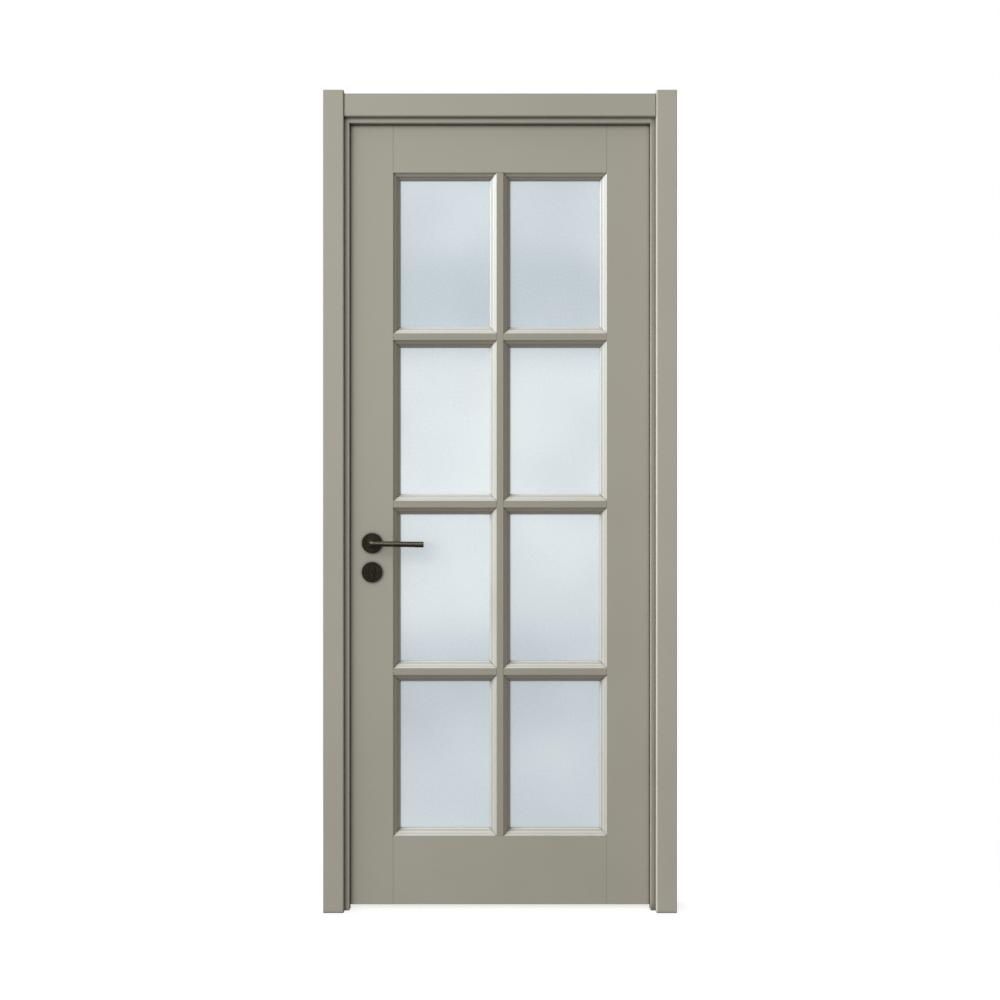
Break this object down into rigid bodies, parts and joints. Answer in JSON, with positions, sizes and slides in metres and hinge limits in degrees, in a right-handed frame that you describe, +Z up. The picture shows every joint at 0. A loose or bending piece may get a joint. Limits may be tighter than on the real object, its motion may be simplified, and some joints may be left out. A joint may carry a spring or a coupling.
{
  "type": "glazed interior door in its frame",
  "caption": "Painted MDF interior door with frosted panes in a glazing-bar grid, on butt hinges in its lining, with casings on both sides and a lever handle.",
  "frame": {"origin": "on the hinge jamb's wall face, at floor level, in the middle of the wall's thickness", "axes": "+Z up, +Y through the wall from the push side to the pull side, +X from the lock side to the hinge side"},
  "size_m": [0.936, 0.1556, 2.141],
  "materials": {
    "painted_mdf": "satin greige paint on MDF",
    "frosted_glass": "frosted, pale blue-grey",
    "dark_bronze": "dark antique bronze, satin",
    "satin_steel": "satin nickel plate"
  },
  "bodies": {
    "frame": {"back_head_casing": "painted_mdf", "back_hinge_casing": "painted_mdf", "back_lock_casing": "painted_mdf", "front_head_casing": "painted_mdf", "front_hinge_casing": "painted_mdf", "front_lock_casing": "painted_mdf", "head_jamb": "painted_mdf", "head_stop": "painted_mdf", "hinge_frame_halves": "dark_bronze", "hinge_jamb": "painted_mdf", "hinge_pins": "dark_bronze", "hinge_stop": "painted_mdf", "lock_jamb": "painted_mdf", "lock_stop": "painted_mdf", "strike_plate": "satin_steel"},
    "leaf": {"back_beads_row_1": "painted_mdf", "back_beads_row_2": "painted_mdf", "back_beads_row_3": "painted_mdf", "back_beads_row_4": "painted_mdf", "back_escutcheon": "dark_bronze", "back_rose": "dark_bronze", "bottom_rail": "painted_mdf", "front_beads_row_1": "painted_mdf", "front_beads_row_2": "painted_mdf", "front_beads_row_3": "painted_mdf", "front_beads_row_4": "painted_mdf", "front_escutcheon": "dark_bronze", "front_rose": "dark_bronze", "glass_row_1": "frosted_glass", "glass_row_2": "frosted_glass", "glass_row_3": "frosted_glass", "glass_row_4": "frosted_glass", "glazing_bars_1": "painted_mdf", "glazing_bars_2": "painted_mdf", "glazing_bars_3": "painted_mdf", "hinge_leaf_halves": "dark_bronze", "hinge_stile": "painted_mdf", "lock_case": "satin_steel", "lock_cylinder": "dark_bronze", "lock_stile": "painted_mdf", "mullion": "painted_mdf", "top_rail": "painted_mdf"},
    "lever": {"front_lever": "dark_bronze", "back_lever": "dark_bronze", "spindle": "satin_steel"}
  },
  "joints": [
    {"name": "leaf_swing", "type": "hinge", "parent": "frame", "child": "leaf", "pos_m": [-0.0325, 0.036, 1.034], "axis": [0, 0, -1], "range_deg": [0, 110]},
    {"name": "lever_turn", "type": "hinge", "parent": "leaf", "child": "lever", "pos_m": [-0.77, 0.01, 0.956], "axis": [0, 1, 0], "range_deg": [0, 45], "stiffness_Nm_per_rad": 1, "springref_deg": -34.38}
  ]
}
